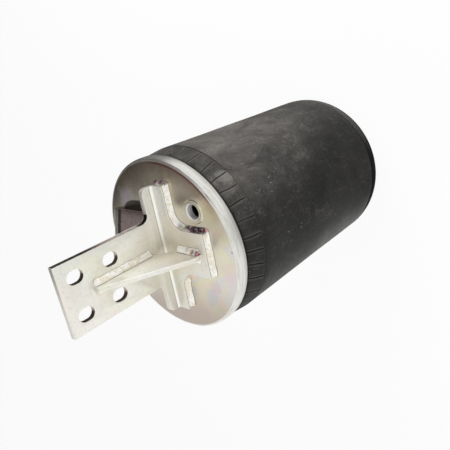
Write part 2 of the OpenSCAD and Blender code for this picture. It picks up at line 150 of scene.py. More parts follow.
# Burnt places on the weld beads: X, Y, Z and size
HEAT_SPOTS = (
    (0.0965, -0.006, 0.419, 0.009), (0.098, -0.018, 0.419, 0.009), (0.096, -0.028, 0.419, 0.007),
    (0.05, -0.038, 0.419, 0.004), (0.044, -0.044, 0.419, 0.006), (0.038, -0.052, 0.419, 0.008),
    (0.0355, -0.061, 0.419, 0.009), (0.0345, -0.07, 0.419, 0.011), (0.0355, -0.079, 0.419, 0.009),
    (0.004, -0.069, 0.426, 0.007), (0.005, -0.061, 0.426, 0.005),
)


# ---- shader patterns


class Field:
    """A shader socket that varies over a surface; its operators add Math nodes."""

    def __init__(self, paint, socket):
        self.paint = paint
        self.socket = socket

    def call(self, operation, *others):
        inputs = dict(enumerate((self, *others)))
        return self.paint.field("Math", {"operation": operation}, inputs)

    def __add__(self, other):
        return self.call("ADD", other)

    def __sub__(self, other):
        return self.call("SUBTRACT", other)

    def __rsub__(self, other):
        return self * -1 + other

    def __mul__(self, other):
        return self.call("MULTIPLY", other)

    def __truediv__(self, other):
        return self.call("DIVIDE", other)

    def __abs__(self):
        return self.call("ABSOLUTE")

    __radd__ = __add__
    __rmul__ = __mul__

    def step(self, low, high):
        """A smooth step from 0 at low to 1 at high; high may be the smaller one."""
        settings = {"interpolation_type": "SMOOTHSTEP"}
        inputs = {"Value": self, "From Min": low, "From Max": high}
        return self.paint.field("MapRange", settings, inputs)


class Paint:
    """One procedural material and the patterns that it is built from."""

    def __init__(self, name, owner=None, rest=False):
        self.owner = owner or bpy.data.materials.new(name)
        self.owner.use_nodes = True
        self.rest = rest
        self.tree = self.owner.node_tree
        self.tree.nodes.clear()

    def add(self, kind, settings=None, inputs=None):
        """Adds a shader node, applies its settings first, then sets or links its sockets."""
        node = self.tree.nodes.new("ShaderNode" + kind)
        for name, value in (settings or {}).items():
            setattr(node, name, value)
        for key, value in (inputs or {}).items():
            socket = node.inputs[key]
            if isinstance(value, Field):
                self.tree.links.new(value.socket, socket)
            elif socket.type == "RGBA" and len(value) == 3:
                socket.default_value = (*value, 1.0)
            else:
                socket.default_value = value
        return node

    def field(self, kind, settings=None, inputs=None, output=0):
        return Field(self, self.add(kind, settings, inputs).outputs[output])

    def read(self, name, output=2):
        """What a mesh keeps on its points: output 1 gives a place, 2 a number."""
        return self.field("Attribute", {"attribute_name": name}, None, output)

    def place(self, stretch=(1, 1, 1), origin=(0, 0, 0)):
        """Object coordinates, or a soft piece's places at rest, moved and stretched."""
        if self.rest:
            raw = self.read("rest", 1)
        else:
            raw = self.field("TexCoord", output="Object")
        inputs = {"Vector": raw, "Scale": stretch, "Location": origin}
        return self.field("Mapping", None, inputs)

    def noise(self, scale, detail=3.0, rough=0.5, twist=0.0, place=None, **moved):
        inputs = {"Vector": place or self.place(**moved), "Scale": scale}
        inputs |= {"Detail": detail, "Roughness": rough, "Distortion": twist}
        return self.field("TexNoise", None, inputs)

    def cells(self, scale):
        """Distance from the nearest of many scattered points."""
        return self.field("TexVoronoi", None, {"Vector": self.place(), "Scale": scale})

    def mix(self, first, second, share):
        inputs = {0: share, 6: first, 7: second}
        return self.field("Mix", {"data_type": "RGBA"}, inputs, 2)

    def coats(self, colour, *coats):
        """Lays (colour, share) coats over a first colour, one after another."""
        for shade, share in coats:
            colour = self.mix(colour, shade, share)
        return colour

    def patch(self, middle, size, ragged, scale):
        """A soft ragged patch round one point of the object."""
        away = self.place(origin=tuple(-c for c in middle))
        away = self.field("VectorMath", {"operation": "LENGTH"}, {0: away}, 1)
        away = away + (self.noise(scale, 4.0, 0.6) - 0.5) * (size * ragged * 2)
        return away.step(size, size * 0.3)

    def axes(self, place=None):
        """X, Y and Z of a place as three fields."""
        node = self.add("SeparateXYZ", None, {0: place or self.place()})
        return [Field(self, node.outputs[i]) for i in range(3)]

    def polar(self):
        """Angle about the stroke from -pi to pi, distance from it, and X, Y and Z."""
        x, y, z = self.axes()
        return y.call("ARCTAN2", x), (x * x + y * y).call("SQRT"), x, y, z

    def rings(self, fine, along, detail=3.0):
        """Noise drawn out round the stroke, as turned, drawn and crimped metal has it."""
        turn, reach, _, _, level = self.polar()
        place = {"X": reach * fine, "Y": turn * along, "Z": level * fine}
        place = self.field("CombineXYZ", None, place)
        return self.noise(1.0, detail, 0.6, place=place)

    def finish(self, colour, rough, relief, metal=0.0, shine=0.5):
        """Closes the material; relief holds a height, its depth in metres and its strength."""
        relief = dict(zip(("Height", "Distance", "Strength"), relief))
        normal = self.field("Bump", None, relief)
        inputs = {"Base Color": colour, "Roughness": rough, "Metallic": metal}
        inputs |= {"Specular IOR Level": shine, "Normal": normal}
        shader = self.field("BsdfPrincipled", None, inputs)
        self.add("OutputMaterial", None, {0: shader})
        return self.owner


# ---- finishes


def shaded(tone, share):
    return tuple(c * share for c in tone)


def zinc_coat(name, tone, dim, tint, grain=(1, 30, 1)):
    """Bright zinc plate: cloudy tone, faint olive, pink and blue tints, fine drawn grain."""
    paint = Paint(name)
    cloud = paint.noise(9, 4, 0.55, 0.6)
    fine = paint.noise(70, 5, 0.6, 0.4)
    drawn = paint.noise(38, 4, 0.7, stretch=grain)
    colour = paint.mix(dim, tone, (cloud * 0.85 + fine * 0.15).step(0.32, 0.62))
    for pattern, origin, limits, hue, weight in ZINC_TINTS:
        share = paint.noise(*pattern, origin=origin).step(*limits)
        shade = tuple(a * b for a, b in zip(tone, hue))
        colour = paint.mix(colour, shade, share * tint * weight)
    speck = paint.cells(260).step(0.1, 0.05) * paint.noise(31).step(0.6, 0.68)
    colour = paint.mix(colour, (0.1, 0.09, 0.08), speck * 0.6)
    uneven = 0.05 * fine + 0.05 * cloud.step(0.35, 0.7) + 0.05 * (drawn - 0.5)
    return paint, colour, uneven, drawn * 0.6 + fine * 0.4


def edge_highlight_zinc():
    """Worn zinc on eased edges, painted bright as the highlight lines along them."""
    pale, dim = (0.97, 0.96, 0.9), (0.9, 0.88, 0.8)
    paint, colour, uneven, height = zinc_coat("edge_highlight_zinc", pale, dim, 0.3)
    return paint.finish(colour, 0.3 + uneven, (height, FINE_RELIEF, 0.2), metal=0.35)


def bracket_zinc(tone):
    """Pale zinc on the bent bracket, with a painted highlight along its bend and a dark line just
    above it.
    """
    dim, grain = shaded(tone, 0.86), (1, 1, 14)
    paint, colour, uneven, height = zinc_coat("bracket_zinc", tone, dim, 0.3, grain)
    _, y, z = paint.axes()
    fine = paint.noise(230, 5, 0.7)
    # Painted highlight: a white line along the inner bend
    bend = abs(z - BEND_Z).step(0.002, 0.0006) * abs(y - BEND_Y).step(0.0025, 0.002)
    crease = abs(z - BEND_Z - 0.0022).step(0.0008, 0.0002) * y.step(BEND_Y, BEND_Y + 0.001)
    warm = paint.patch((0.01, -0.04, SEAT_Z + 0.02), 0.06, 0.6, 22)
    colour = paint.coats(
        colour,
        (shaded(tone, 0.66), fine.step(0.5, 0.72) * 0.5),
        ((0.34, 0.31, 0.26), crease * 0.7),
        ((1, 1, 0.97), bend * 0.9),
        ((0.74, 0.62, 0.44), warm * 0.34),
    )
    relief = (height + fine * 0.6, FINE_RELIEF, 0.3)
    return paint.finish(colour, 0.32 + uneven, relief, metal=0.62 - bend * 0.3)


def cut_zinc():
    """Cut steel on the arm's long edges and slot walls: brown near an ear, painted black as shade
    in its fillet.
    """
    brown, dim = (0.44, 0.38, 0.33), (0.26, 0.21, 0.18)
    paint, colour, uneven, height = zinc_coat("cut_edge_zinc", brown, dim, 0.5)
    x, _, z = paint.axes()
    near = abs(x).step(0.044, 0.046) * z.step(SEAT_Z + 0.125, SEAT_Z + 0.08)
    # Painted shade: black in the fillet between the +X ear and the arm
    fillet = z.step(SEAT_Z + 0.043, SEAT_Z + 0.04) * x.step(0, 0.001)
    colour = paint.coats(colour, ((0.34, 0.29, 0.27), near), (BLACK, fillet))
    metal = 0.95 - near * 0.75
    return paint.finish(colour, 0.24 + uneven, (height, FINE_RELIEF, 0.4), metal)


def gusset_painted_shade_zinc():
    """Zinc on the ribs behind the arm, painted browner and darker as their shade, with a grey
    strip and a dark stripe painted along their sloping side as reflection.
    """
    # Painted shade: a darker, browner copy of the plated zinc for the ribs behind the arm
    brown, dim = (0.34, 0.27, 0.262), (0.23, 0.18, 0.176)
    paint, colour, uneven, height = zinc_coat("rear_gusset_painted_shade_zinc", brown, dim, 0.5, (1, 1, 16))
    _, y, z = paint.axes()
    fall = (GUSSET_TOP + RIB_LIFT - SEAT_Z) / (GUSSET_END - ARM_BACK)
    inward = ((GUSSET_END - y) * fall - (z - SEAT_Z)) / math.hypot(1, fall)
    # Painted reflection: a grey strip, then a dark stripe, along the sloping side
    dark = inward.step(0.0028, 0.004) * inward.step(0.008, 0.0066)
    fine = paint.noise(260, 5, 0.75)
    colour = paint.coats(
        colour,
        ((0.3, 0.3, 0.26), inward.step(0.0042, 0.0034) * 0.8),
        ((0.02, 0.018, 0.02), dark * 0.9),
        ((0.1, 0.08, 0.08), fine.step(0.46, 0.7) * 0.5),
    )
    return paint.finish(colour, 0.18 + uneven, (height + fine * 0.5, FINE_RELIEF, 0.3), metal=0.6)


def plate_zinc(tone):
    """Zinc plate on the bead plate: passing stains on the flat, a whiter drawn rim, painted dark
    and red reflections, a painted sheen and a painted shade line at the rim's edge.
    """
    paint, colour, uneven, height = zinc_coat("plate_zinc", tone, shaded(tone, 0.93), 0.35)
    _, reach, x, y, z = paint.polar()
    film = paint.noise(12, 2, 0.5, 0.8, origin=(4, 2, 6))
    for low, shade in FILM_LINES:
        share = abs(film - low).step(0.065, 0) * x.step(0.12, -0.04)
        colour = paint.mix(colour, shade, share * 0.6)
    for *spot, size, shade, share in PLATE_STAINS:
        colour = paint.mix(colour, shade, paint.patch((*spot, SEAT_Z), size, 1.1, 34) * share)
    dim = (paint.noise(16, 3) * 0.02 - x).step(0.035, 0.125)
    streak = paint.noise(30, 5, 0.75, stretch=(1.6, 22, 1))
    # Painted dark reflection, streaked, over the plate towards +X and +Y
    streaked_dark_reflection = (x + 0.55 * y).step(0.03, 0.1) * streak.step(0.4, 0.62)
    # Painted red-brown reflection on the flat near the rim, on the +X side
    edge = x.step(0.02, 0.09) * reach.step(0.096, 0.119)
    # Painted red reflection in a narrow ring where the rim starts, on the +X side
    rim_red_reflection = (x + (streak - 0.5) * 0.06).step(0.06, 0.085)
    rim_red_reflection = rim_red_reflection * reach.step(0.1168, 0.1188) * y.step(0.02, -0.02)
    # Painted dark reflection near the rim towards +Y
    rim_dark_reflection = (y - 0.6 * x).step(-0.02, 0.05) * reach.step(0.1, 0.119)
    # Painted dark reflection over the flat towards +X and +Y
    far_dark_reflection = (0.8 * x + 0.55 * y).step(0.075, 0.115) * y.step(-0.02, 0.02)
    # Painted sheen: a pale pink patch towards +X and +Y
    sheen = paint.patch((0.066, 0.07, SEAT_Z), 0.024, 0.8, 34)
    # Painted reflection of the rear rib: a curved dark olive patch outside it
    aside, along = (x - 0.047) * 58, (y - 0.043) * 26
    arch_reflection = (aside * aside + along * along + (film - 0.5) * 0.5).step(1.12, 0.86)
    arch_reflection = arch_reflection * x.step(0.0465, 0.0475)
    drawn = paint.rings(700, 5, 4)
    rim = reach.step(RIM_START, RIM_START + 0.001)
    scratch = drawn.step(0.63, 0.68) * paint.noise(26).step(0.46, 0.56)
    # Painted shade along the rim's outer edge on the -X side
    rim_edge_shade = reach.step(0.1232, 0.1255)
    rim_edge_shade = rim_edge_shade * x.step(-0.01, -0.05) * y.step(-0.085, -0.045)
    colour = paint.coats(
        colour,
        ((0.42, 0.35, 0.31), dim * 0.85),
        ((0.3, 0.29, 0.25), streaked_dark_reflection * 0.55),
        ((0.4, 0.27, 0.22), edge * 0.6),
        ((0.28, 0.06, 0.09), rim_red_reflection * 0.75),
        ((0.24, 0.22, 0.19), rim_dark_reflection * x.step(-0.01, 0.03) * 0.6),
        ((0.15, 0.14, 0.12), far_dark_reflection * 0.5),
        ((0.72, 0.66, 0.76), sheen * 0.7),
        ((0.055, 0.052, 0.026), arch_reflection * 0.9),
        ((0.8, 0.79, 0.76), rim),
        ((0.6, 0.6, 0.57), rim * drawn.step(0.46, 0.6) * 0.7),
        ((0.2, 0.18, 0.15), rim * scratch * 0.8),
        ((0.5, 0.48, 0.45), z.step(SEAT_Z - 0.01, SEAT_Z - 0.014) * 0.6),
        ((0.1, 0.09, 0.07), rim_edge_shade * 0.7),
    )
    rough = 0.2 + uneven + rim * (0.06 + 0.16 * drawn)
    return paint.finish(colour, rough, (height + rim * drawn * 1.5, FINE_RELIEF, 0.14), 0.94)


def port_zinc():
    """Plated bush: a broken mouth painted bright as a highlight, a turned bore with a painted
    highlight line low in it, and a far end painted dark as shade.
    """
    paint = Paint("port_zinc")
    x, y, z = paint.axes()
    aside, along = x - PORT_X, y - PORT_Y
    reach = (aside * aside + along * along).call("SQRT")
    cloud = paint.noise(120, 4, 0.6)
    thread = abs((z * THREADS_PER_METRE).call("FRACT") - 0.5).step(0.1, 0.42)
    bore = reach.step(0.0109, 0.0105)
    ring = reach.step(0.0111, 0.0115)
    # Painted highlight: a pale line low in the bore, just above its far end
    crest = abs(z - PORT_LOW - 0.0042).step(0.001, 0.0004) * bore
    # Painted shade: black at the bore's far end
    bore_end_shade = (z + (cloud - 0.5) * 0.0008).step(PORT_LOW + 0.0032, PORT_LOW + 0.0026) * bore
    colour = paint.coats(
        (0.7, 0.68, 0.66),
        ((0.93, 0.92, 0.9), cloud.step(0.36, 0.6)),
        ((0.52, 0.49, 0.48), bore * thread * 0.55),
        # Painted highlight on the broken mouth
        ((0.98, 0.97, 0.94), z.step(PORT_TOP - 0.0012, PORT_TOP - 0.0008)),
        ((0.66, 0.63, 0.54), ring),
        ((0.36, 0.33, 0.33), bore * cloud.step(0.5, 0.6) * 0.6),
        ((0.95, 0.94, 0.92), crest * 0.8),
        (BLACK, bore_end_shade),
    )
    rough = 0.34 + 0.1 * cloud + 0.3 * bore_end_shade
    relief = (cloud - bore * thread * 0.8, 0.0003, 0.4)
    return paint.finish(colour, rough, relief, metal=0.12 + ring * 0.6)


def weld_zinc():
    """Glossy plated beads, brown along their toes, with a few dark and magenta heat spots."""
    paint = Paint("weld_zinc")
    cloud = paint.noise(140, 3, 0.5, 0.6)
    fine = paint.noise(420, 4, 0.6)
    fleck = paint.noise(330, 4, 0.6, 1).step(0.6, 0.7)
    toe = (paint.read("toe") + (cloud - 0.5) * 0.8).step(0.62, 1)
    blue = paint.noise(240, origin=(6, 2, 3)).step(0.56, 0.62)
    green = paint.noise(210, origin=(1, 7, 4)).step(0.58, 0.64)
    burnt = paint.coats(
        (0.01, 0.009, 0.012),
        ((0.34, 0.03, 0.09), paint.noise(210, 3, 0.6).step(0.47, 0.56)),
        ((0.03, 0.05, 0.11), blue),
        ((0.05, 0.1, 0.075), green),
        ((0.62, 0.5, 0.52), fine.step(0.6, 0.7) * 0.8),
    )
    bare = paint.noise(240, 3, 0.6, 0.5, origin=(3, 9, 5))
    worn = 0.35 + 0.65 * bare.step(0.62, 0.55)
    colour = paint.coats(
        (0.84, 0.79, 0.66),
        ((0.97, 0.96, 0.92), cloud.step(0.4, 0.58)),
        ((0.34, 0.29, 0.23), fleck * 0.6),
        ((0.13, 0.09, 0.06), toe * 0.8),
        *((burnt, paint.patch(spot, size, 0.4, 220) * worn) for *spot, size in HEAT_SPOTS),
    )
    rough = 0.24 + 0.1 * fine + 0.1 * toe
    return paint.finish(colour, rough, (fine + cloud * 2, 0.0004, 0.4), metal=0.55)


def sleeve_rubber(name, shine):
    """Dull charcoal rubber, dusty and painted as top-lit over its top side, with scuffs, wisps and
    specks.
    """
    paint = Paint(name, rest=True)
    turn, _, x, y, z = paint.polar()
    cloud = paint.noise(11, 5, 0.62, 0.8)
    smear = paint.noise(26, 6, 0.7, 1.2, stretch=(1, 1, 0.45))
    mottle = paint.noise(210, 5, 0.75, 0.6)
    grain = paint.noise(900, 3, 0.6)
    cloth = paint.noise(18, 4, 0.65, 0.3, stretch=(1, 1, 22))
    neck = z.step(PLEAT_LOW - 0.001, PLEAT_LOW + 0.001)
    # Dust, and painted top light: lighter towards +X, less of it by the neck
    dust_and_top_light = (x + (z - 0.2) * 0.25 + (cloud - 0.5) * 0.07).step(0.05, 0.165)
    dust_and_top_light = dust_and_top_light * (1 - neck * 0.55 * x.step(0.085, 0.115))
    # Painted sheen near the lower edge, towards -X and -Y, in a fine streaked grain
    lower_edge_sheen = (-0.6 * x - y * 0.35 + (cloud - 0.5) * 0.04).step(0.062, 0.092) * (1 - neck)
    lower_edge_sheen = lower_edge_sheen * (0.35 + 0.65 * z.step(0.3, 0.12))
    # Painted sheen: a pale patch on the neck
    rubbed = paint.patch((0.091, -0.089, 0.371), 0.015, 1, 90) * neck
    scuff = smear.step(0.56, 0.74) * cloud.step(0.42, 0.6)
    wisp = paint.noise(34, 3, 0.6, 2.2, stretch=(1, 1, 0.6))
    wisp = abs(wisp - 0.5).step(0.014, 0.003) * smear.step(0.44, 0.58)
    speck = paint.cells(150).step(0.1, 0.06) * paint.noise(15).step(0.56, 0.62)
    speck = speck * z.step(0.17, 0.26)
    # Painted shade: near black on the rubber just below the plate's crimp
    crimp = z.step(CRIMP_Z - 0.0035, CRIMP_Z - 0.0012)
    # Painted shade in the groove at the foot of the pleats
    pleat_groove_shade = abs(z - PLEAT_LOW).step(0.0012, 0.0005)
    pleat_groove_shade = pleat_groove_shade * (0.25 + 0.7 * abs(x - 0.035).step(0.055, 0.085))
    # Painted shade over the fold, where there is also less dust
    shaded_fold_band = z.step(FOLD_LINE, FOLD_LINE - 0.001)
    rib = (turn * (FOLD_RIBS / math.tau) + z * 60).call("FRACT")
    rib = abs(rib - 0.5).step(0.22, 0.46) * shaded_fold_band
    # Painted shade in the crease where the fold begins
    line = abs(z - FOLD_LINE).step(0.0013, 0.0005)
    colour = paint.coats(
        (0.008, 0.008, 0.0076),
        ((0.019, 0.0185, 0.0174), cloud.step(0.3, 0.7)),
        ((0.1, 0.092, 0.086), dust_and_top_light * (0.35 + 0.65 * smear.step(0.3, 0.62))),
        ((0.15, 0.15, 0.14), lower_edge_sheen * (0.4 + 0.6 * cloth.step(0.42, 0.58))),
        ((0.24, 0.23, 0.215), rubbed * 0.42),
        ((0.15, 0.14, 0.13), scuff * (0.14 + 0.5 * dust_and_top_light)),
        ((0.19, 0.18, 0.17), wisp * (0.2 + 0.45 * dust_and_top_light)),
        ((0.1, 0.097, 0.09), mottle.step(0.5, 0.72) * (0.22 + 0.4 * dust_and_top_light)),
        (NEAR_BLACK, mottle.step(0.46, 0.24) * 0.55),
        ((0.62, 0.6, 0.56), speck * 0.75),
        # Painted highlight beside each crease
        ((0.16, 0.15, 0.14), paint.read("ridge_highlight") * 0.25),
        # Painted shade in the creases between the pleats
        (JET, paint.read("crease").step(0.22, 0.8) * 0.9),
        (BLACK, pleat_groove_shade),
        (JET, crimp * 0.9),
        (NEAR_BLACK, shaded_fold_band * 0.75),
        # Ribs in the fold painted lighter towards +X, as light on them
        ((0.11, 0.105, 0.1), (1 - rib) * shaded_fold_band * x.step(0.02, 0.11) * 0.9),
        (JET, line * 0.95),
    )
    rough = 0.56 + 0.14 * cloud + 0.1 * dust_and_top_light
    relief = (grain * 0.6 + mottle * 0.8 + cloud * 0.5 - rib * 2, 0.0003, 0.5)
    return paint.finish(colour, rough, relief, shine=shine)


def plain_finish(name, colour, metal, rough, scale=60, depth=0.0002):
    """A plated or moulded face with cloudy tone, fine grain and rubbed spots."""
    paint = Paint(name)
    cloud = paint.noise(scale * 0.25, 3, 0.5, 0.5)
    grain = paint.noise(scale * 6, 4, 0.6)
    rubbed = paint.noise(scale, 5, 0.65).step(0.56, 0.74)
    lighter = tuple(min(1, c * 1.5 + 0.02) for c in colour)
    tone = paint.coats(
        shaded(colour, 0.72), (colour, cloud.step(0.3, 0.6)), (lighter, rubbed * 0.45)
    )
    rough = rough + 0.12 * grain + 0.08 * rubbed
    return paint.finish(tone, rough, (grain, depth, 0.4), metal)


def piston_paint():
    """Black dip paint, polished in streaks by the rolling sleeve and chipped at its foot."""
    paint = Paint("dip_paint")
    level = paint.axes()[2]
    cloud = paint.noise(14, 4, 0.6, 0.5)
    grain = paint.noise(420, 4, 0.6)
    streak = paint.noise(70, 4, 0.7, stretch=(1, 1, 0.05))
    chip = paint.noise(90, 5, 0.7).step(0.57, 0.61) * level.step(0.014, 0.002)
    colour = paint.coats(
        (0.013, 0.013, 0.014),
        ((0.034, 0.034, 0.036), cloud.step(0.3, 0.65)),
        ((0.085, 0.083, 0.08), streak.step(0.5, 0.7) * 0.6),
        ((0.22, 0.15, 0.1), chip * 0.8),
    )
    rough = 0.3 + 0.16 * cloud + 0.12 * streak + 0.2 * chip
    return paint.finish(colour, rough, (grain - chip, 0.0002, 0.4))


# ---- mesh helpers


def nothing_selected():
    if bpy.context.object and bpy.context.object.mode != "OBJECT":
        bpy.ops.object.mode_set(mode="OBJECT")
    bpy.ops.object.select_all(action="DESELECT")


def only(piece):
    """Selects one object and makes it active."""
    nothing_selected()
    piece.select_set(True)
    bpy.context.view_layer.objects.active = piece


def read_points(piece):
    points = np.empty(len(piece.data.vertices) * 3, np.float32)
    piece.data.vertices.foreach_get("co", points)
    return points.reshape(-1, 3).astype(float)


def write_points(piece, points):
    piece.data.vertices.foreach_set("co", points.astype(np.float32).ravel())
    piece.data.update()


def in_edit(piece, *steps):
    """Runs edit-mode operators, given as (operator, settings), on all of one piece."""
    only(piece)
    bpy.ops.object.mode_set(mode="EDIT")
    bpy.ops.mesh.select_all(action="SELECT")
    for operator, settings in steps:
        operator(**settings)
    bpy.ops.object.mode_set(mode="OBJECT")


def smooth(piece, degrees):
    only(piece)
    bpy.ops.object.shade_smooth_by_angle(angle=math.radians(degrees))


def applied(piece, kind, **settings):
    """Adds one modifier and applies it."""
    only(piece)
    modifier = piece.modifiers.new(kind.title(), kind)
    for name, value in settings.items():
        setattr(modifier, name, value)
    bpy.ops.object.modifier_apply(modifier=modifier.name)


def keep_value(piece, name, values):
    """Writes one number for each point, for the finish to read."""
    kept = piece.data.attributes.new(name, "FLOAT", "POINT")
    kept.data.foreach_set("value", values.astype(np.float32))


def keep_rest(piece):
    """Writes each point's place at rest, so that the finish moves with the stretched rubber."""
    rest = piece.data.attributes.new("rest", "FLOAT_VECTOR", "POINT")
    rest.data.foreach_set("vector", read_points(piece).ravel())


def dressed(piece, material, body, node):
    """Gives a finished piece its material, the body that it rides on and what it replaces."""
    if material:
        piece.data.materials.clear()
        piece.data.materials.append(material)
    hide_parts(node)
    if body:
        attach(piece, body)


def repaint(node, material):
    """Gives a node of the frame a better material and leaves its mesh alone."""
    for entry in NODES[node].material_slots:
        entry.link = "OBJECT"
        entry.material = material


def eased_copy(node, width, finishes):
    """A merged copy of a node with its sharp edges eased; they take the second finish."""
    piece = bpy.data.objects.new(node + "_plate", NODES[node].data.copy())
    piece.data.materials.clear()
    for finish in finishes:
        piece.data.materials.append(finish)
    bpy.context.scene.collection.objects.link(piece)
    in_edit(
        piece,
        (bpy.ops.mesh.remove_doubles, {"threshold": 0.00002}),
        (bpy.ops.mesh.customdata_custom_splitnormals_clear, {}),
        (bpy.ops.mesh.dissolve_limited, {"angle_limit": math.radians(0.6)}),
    )
    applied(
        piece, "BEVEL", width=width, segments=2, limit_method="ANGLE", material=1,
        angle_limit=math.radians(38), miter_outer="MITER_ARC", use_clamp_overlap=True,
    )
    smooth(piece, 40)
    return piece


def ramp(distance, width):
    """0 before the start, 1 once the width is passed."""
    return np.clip(distance / width, 0, 1)


def turned_points(radius, turn, height):
    return np.stack([radius * np.cos(turn), radius * np.sin(turn), height], axis=1)


def turned_shell(name, outline, steps):
    """Spins a closed outline of (radius, height) points about the stroke."""
    nothing_selected()
    bpy.ops.mesh.primitive_plane_add(size=0.01, location=(0, 0, 0))
    piece = bpy.context.object
    piece.name = name
    bpy.ops.object.mode_set(mode="EDIT")
    bpy.ops.mesh.select_all(action="SELECT")
    bpy.ops.mesh.merge(type="CENTER")
    radius, height = outline[0]
    bpy.ops.transform.translate(value=(radius, 0, height))
    for next_radius, next_height in outline[1:] + outline[:1]:
        move = {"value": (next_radius - radius, 0, next_height - height)}
        bpy.ops.mesh.extrude_region_move(TRANSFORM_OT_translate=move)
        radius, height = next_radius, next_height
    bpy.ops.mesh.select_all(action="SELECT")
    bpy.ops.mesh.spin(steps=steps, angle=math.tau, center=(0, 0, 0), axis=(0, 0, 1))
    bpy.ops.mesh.select_all(action="SELECT")
    bpy.ops.mesh.remove_doubles(threshold=0.000002)
    bpy.ops.mesh.normals_make_consistent(inside=False)
    bpy.ops.object.mode_set(mode="OBJECT")
    return piece


def shaped_tube(name, rings):
    """A closed tube through rings of points, its two ends drawn together."""
    count, around = len(rings), len(rings[0])
    nothing_selected()
    bpy.ops.mesh.primitive_grid_add(x_subdivisions=around, y_subdivisions=count - 1, size=2.0)
    piece = bpy.context.object
    piece.name = name
    across, ahead, _ = read_points(piece).T
    column = np.rint((across + 1) / 2 * around).astype(int) % around
    row = np.rint((ahead + 1) / 2 * (count - 1)).astype(int)
    write_points(piece, np.array(rings, float)[row, column])
    keep_value(piece, "toe", (column < 2) | (column > WELD_ARC - 2))
    in_edit(
        piece,
        (bpy.ops.mesh.remove_doubles, {"threshold": 0.000003}),
        (bpy.ops.mesh.normals_make_consistent, {"inside": False}),
    )
    return piece


def joined(name, pieces):
    """Several meshes as one piece."""
    only(pieces[0])
    for piece in pieces:
        piece.select_set(True)
    bpy.ops.object.join()
    pieces[0].name = name
    return pieces[0]


class Seam:
    """The corner line that a weld bead follows, in millimetres above the plate's seat."""

    STEP = 0.6

    def __init__(self, point, out, up, legs):
        self.point = Vector(point)
        self.out = Vector(out)
        self.up = Vector(up)
        self.legs = legs
        self.frames = [(self.point, self.out, 0.0)]

    def keep(self, length):
        self.frames.append((self.point, self.out, self.frames[-1][2] + length))

    def run(self, length):
        """Straight on; the travel is at right angles to both legs."""
        count = max(1, round(length / self.STEP))
        ahead = self.out.cross(self.up).normalized() * (length / count)
        for _ in range(count):
            self.point = self.point + ahead
            self.keep(length / count)
        return self

    def round(self, centre, degrees, middle):
        """Round a centre, with the bead's middle line at the given radius."""
        length = abs(math.radians(degrees)) * middle
        count = max(6, round(length / self.STEP))
        turn = Matrix.Rotation(math.radians(degrees) / count, 3, self.up)
        centre = Vector(centre)
        for _ in range(count):
            self.point = centre + turn @ (self.point - centre)
            self.out = turn @ self.out
            self.keep(length / count)
        return self

    def bead(self, name, seed):
        """The rippled bead, with uneven toes and rounded ends."""
        total = self.frames[-1][2]
        rings = []
        for point, out, along in self.frames:
            drift = noise.noise((along * 0.11, seed, 0.0))
            lump = noise.noise((along * 0.33, seed, 5.0))
            near = min(along, total - along) / (0.55 * max(self.legs))
            end = 0.02 + 0.98 * math.sqrt(max(0.0, 1 - (1 - min(near, 1.0)) ** 2))
            wide = self.legs[0] * (1 + 0.10 * drift + 0.05 * lump) * end
            high = self.legs[1] * (1 + 0.08 * noise.noise((along * 0.14, seed, 9.0))) * end
            ring = []
            for j in range(WELD_ARC + 1):
                share = j / WELD_ARC
                turn = share * math.pi / 2
                crest = math.sin(2 * turn)
                phase = (along - 1.3 * crest) / WELD_PITCH + 0.4 * drift
                swell = 0.004 * math.cos(phase * math.tau) + 0.02 * lump
                swell += 0.02 * noise.noise((along * 0.2, share * 2, seed))
                fat = 1 + swell * crest
                a = wide * math.cos(turn) ** 1.5 * fat
                b = high * math.sin(turn) ** 1.5 * fat
                ring.append(point + out * a + self.up * b)
            root = WELD_ROOT * end
            ring.append(point - out * root + self.up * (high * 0.97))
            ring.append(point - out * root - self.up * root)
            ring.append(point + out * (wide * 0.97) - self.up * root)
            rings.append([[p.x * MM, p.y * MM, SEAT_Z + p.z * MM] for p in ring])
        for ring in (rings[0], rings[-1]):
            middle = [sum(p[i] for p in ring) / len(ring) for i in range(3)]
            ring[:] = [middle] * len(ring)
        return shaped_tube(name, rings)


# ---- settings


class SLEEVE_PG_settings(bpy.types.PropertyGroup):
    """Sizes of the sleeve's pleats and fold."""

    pleats: IntProperty(
        name="Pleats", description="Number of creases round the neck", min=12, max=60, default=37,
    )
    crease: FloatProperty(
        name="Crease depth", description="Depth of one crease between two pleats",
        subtype="DISTANCE", min=0.0, max=0.003, default=0.0011,
    )
    wall: FloatProperty(
        name="Wall", description="Thickness of the rubber and cord wall",
        subtype="DISTANCE", min=0.002, max=0.006, default=0.0045,
    )


class STEEL_PG_settings(bpy.types.PropertyGroup):
    """Tones and edge sizes of the plated steel."""

    plate_tone: FloatVectorProperty(
        name="Plate tone", description="Brightest tone of the bead plate",
        subtype="COLOR", size=3, min=0.0, max=1.0, default=(0.80, 0.74, 0.60),
    )
    bracket_tone: FloatVectorProperty(
        name="Bracket tone", description="Brightest tone of bracket and gussets",
        subtype="COLOR", size=3, min=0.0, max=1.0, default=(0.87, 0.86, 0.795),
    )
    edge: FloatProperty(
        name="Eased edge", description="Width of the eased edge on cut plate",
        subtype="DISTANCE", min=0.0001, max=0.002, default=0.0007,
    )


